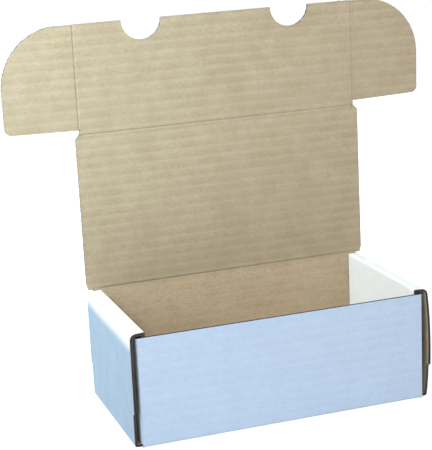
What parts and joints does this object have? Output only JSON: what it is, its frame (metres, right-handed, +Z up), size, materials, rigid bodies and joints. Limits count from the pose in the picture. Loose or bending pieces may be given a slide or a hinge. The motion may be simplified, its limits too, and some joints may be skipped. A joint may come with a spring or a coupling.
{
  "type": "postcard storage box",
  "caption": "Folded cardboard box with rolled ends, a hinged lid, a notched tuck flap and rounded ears, for storing postcards standing on edge.",
  "frame": {"origin": "middle of the underside of the tray", "axes": "+X along the box, +Y from the front wall to the lid's hinge at the back wall, +Z up"},
  "size_m": [0.4634, 0.1682, 0.398],
  "materials": {
    "white_board": "matte white outer liner, kraft inside",
    "kraft_board": "matte bare kraft inner liner, white outside"
  },
  "bodies": {
    "tray": {"tray": "white_board"},
    "lid": {"lid": "kraft_board"},
    "tuck_flap": {"tuck_flap": "kraft_board"},
    "ear_left": {"ear_left": "kraft_board"},
    "ear_right": {"ear_right": "kraft_board"}
  },
  "joints": [
    {"name": "lid_hinge", "type": "hinge", "parent": "tray", "child": "lid", "pos_m": [0, 0.0811, 0.117], "axis": [1, 0, 0], "range_deg": [-88.9, 89.87]},
    {"name": "tuck_crease", "type": "hinge", "parent": "lid", "child": "tuck_flap", "pos_m": [0, 0.08428, 0.28251], "axis": [1, 0, 0], "range_deg": [-1.5, 89.72]},
    {"name": "ear_left_crease", "type": "hinge", "parent": "tuck_flap", "child": "ear_left", "pos_m": [-0.1542, 0.08428, 0.28251], "axis": [0, -0.007, 1], "range_deg": [0, 90]},
    {"name": "ear_right_crease", "type": "hinge", "parent": "tuck_flap", "child": "ear_right", "pos_m": [0.1542, 0.08428, 0.28251], "axis": [0, 0.007, -1], "range_deg": [0, 90]}
  ]
}
